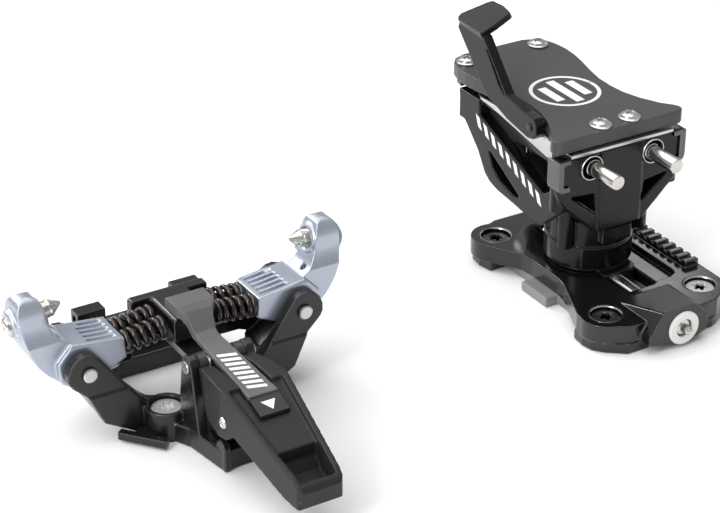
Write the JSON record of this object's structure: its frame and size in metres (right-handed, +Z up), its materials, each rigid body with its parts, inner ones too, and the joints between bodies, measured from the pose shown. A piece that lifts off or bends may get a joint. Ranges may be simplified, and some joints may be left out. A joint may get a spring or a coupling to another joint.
{
  "type": "touring binding",
  "caption": "Pin-type touring binding: toe unit with two pivoting wings, springs and a finger lever beside a turning heel unit with two pins, length adjuster and heel lifter.",
  "frame": {"origin": "middle of the two units' joint footprint, on the top surface of the ski", "axes": "+X across the units from the toe unit to the heel unit, -Y towards the ski tip, +Z up from the ski"},
  "size_m": [0.2214, 0.1352, 0.0841],
  "materials": {
    "base_black": "gloss black anodised",
    "tower_black": "gloss black anodised",
    "wing_alloy": "satin pale blue-grey anodised",
    "pin_steel": "turned, polished",
    "screw_steel": "satin",
    "spring_steel": "dark, oiled",
    "lever_plastic": "matte dark grey",
    "arm_grey": "satin mid grey",
    "cap_grey": "satin dark grey",
    "pad_grey": "matte grey",
    "black_plastic": "matte black",
    "white_plastic": "satin white",
    "fork_steel": "satin"
  },
  "bodies": {
    "bases": {"toe_base": "base_black", "toe_mounting_screws": "screw_steel", "crampon_bracket": "black_plastic", "leash_tab": "black_plastic", "anti_ice_block": "black_plastic", "wing_axle_left": "screw_steel", "wing_axle_right": "screw_steel", "lever_axle": "screw_steel", "heel_base": "base_black", "heel_base_pad": "pad_grey", "heel_mounting_screws": "screw_steel", "spindle_washer": "white_plastic"},
    "left_wing": {"wing_left": "wing_alloy", "toe_pin_left": "pin_steel", "toe_pin_nut_left": "screw_steel", "wing_springs_left": "spring_steel", "spring_rods_left": "black_plastic"},
    "right_wing": {"wing_right": "wing_alloy", "toe_pin_right": "pin_steel", "toe_pin_nut_right": "screw_steel", "wing_springs_right": "spring_steel", "spring_rods_right": "black_plastic"},
    "centre": {"centre_block": "arm_grey"},
    "lever": {"toe_lever": "lever_plastic", "lever_arm": "arm_grey", "lever_window": "black_plastic", "lift_fork": "fork_steel", "lever_spacers": "black_plastic", "lever_rivets": "screw_steel"},
    "spindle": {"adjuster_spindle": "screw_steel"},
    "carriage": {"carriage": "black_plastic", "post_circlip": "screw_steel"},
    "tower": {"tower_frame": "tower_black", "spring_housing": "tower_black", "steel_plate": "fork_steel", "cap": "cap_grey", "cap_screws": "screw_steel", "side_clips": "fork_steel", "heel_pin_pivots": "screw_steel", "release_block": "screw_steel", "release_springs": "spring_steel", "lateral_spring": "spring_steel", "lateral_plunger": "screw_steel", "lifter_pin": "screw_steel"},
    "left_heel_pin": {"heel_pin_left": "pin_steel"},
    "right_heel_pin": {"heel_pin_right": "pin_steel"},
    "left_release_screw": {"release_screw_left": "screw_steel"},
    "right_release_screw": {"release_screw_right": "screw_steel"},
    "lateral_release_screw": {"lateral_screw": "screw_steel"},
    "lifter": {"heel_lifter": "tower_black"}
  },
  "joints": [
    {"name": "lever_hinge", "type": "hinge", "parent": "bases", "child": "lever", "pos_m": [-0.05745, -0.00985, 0.025], "axis": [-1, 0, 0], "range_deg": [0, 28]},
    {"name": "centre_slide", "type": "slide", "parent": "bases", "child": "centre", "axis": [0, 0, -1], "range_m": [0, 0.0104]},
    {"name": "wing_left_hinge", "type": "hinge", "parent": "bases", "child": "left_wing", "pos_m": [-0.09144, 0.01415, 0.024], "axis": [0, 1, 0], "range_deg": [0, 22.1]},
    {"name": "wing_right_hinge", "type": "hinge", "parent": "bases", "child": "right_wing", "pos_m": [-0.02345, 0.01415, 0.024], "axis": [0, -1, 0], "range_deg": [0, 22.1]},
    {"name": "carriage_slide", "type": "slide", "parent": "bases", "child": "carriage", "axis": [0, 1, 0], "range_m": [-0.01, 0.01]},
    {"name": "spindle_turn", "type": "hinge", "parent": "bases", "child": "spindle", "pos_m": [0.08456, -0.00385, 0.0064], "axis": [0, 1, 0], "range_deg": [-1801, 1801]},
    {"name": "tower_turn", "type": "hinge", "parent": "carriage", "child": "tower", "pos_m": [0.08456, 0.01095, 0.02], "axis": [0, 0, 1], "continuous": true},
    {"name": "lifter_hinge", "type": "hinge", "parent": "tower", "child": "lifter", "pos_m": [0.0642, 0.01415, 0.0569], "axis": [1, 0, 0], "range_deg": [-10, 75]},
    {"name": "heel_pin_left_swing", "type": "hinge", "parent": "tower", "child": "left_heel_pin", "pos_m": [0.07355, 0.02815, 0.0483], "axis": [0, 0, -1], "range_deg": [0, 2.2], "stiffness_Nm_per_rad": 6},
    {"name": "heel_pin_right_swing", "type": "hinge", "parent": "tower", "child": "right_heel_pin", "pos_m": [0.09556, 0.02815, 0.0483], "axis": [0, 0, 1], "range_deg": [0, 2.2], "stiffness_Nm_per_rad": 6},
    {"name": "release_screw_left_turn", "type": "hinge", "parent": "tower", "child": "left_release_screw", "pos_m": [0.07655, 0.05415, 0.0484], "axis": [0, 1, 0], "continuous": true},
    {"name": "release_screw_right_turn", "type": "hinge", "parent": "tower", "child": "right_release_screw", "pos_m": [0.09255, 0.05415, 0.0484], "axis": [0, 1, 0], "continuous": true},
    {"name": "lateral_screw_turn", "type": "hinge", "parent": "tower", "child": "lateral_release_screw", "pos_m": [0.08456, 0.03615, 0.018], "axis": [0, 1, 0], "continuous": true}
  ],
  "couplings": [
    {"joint": "centre_slide", "follows": "lever_hinge", "m_per_rad": 0.0211},
    {"joint": "wing_left_hinge", "follows": "lever_hinge", "ratio": 0.7857},
    {"joint": "wing_right_hinge", "follows": "lever_hinge", "ratio": 0.7857},
    {"joint": "spindle_turn", "follows": "carriage_slide", "rad_per_m": 3141.6}
  ]
}
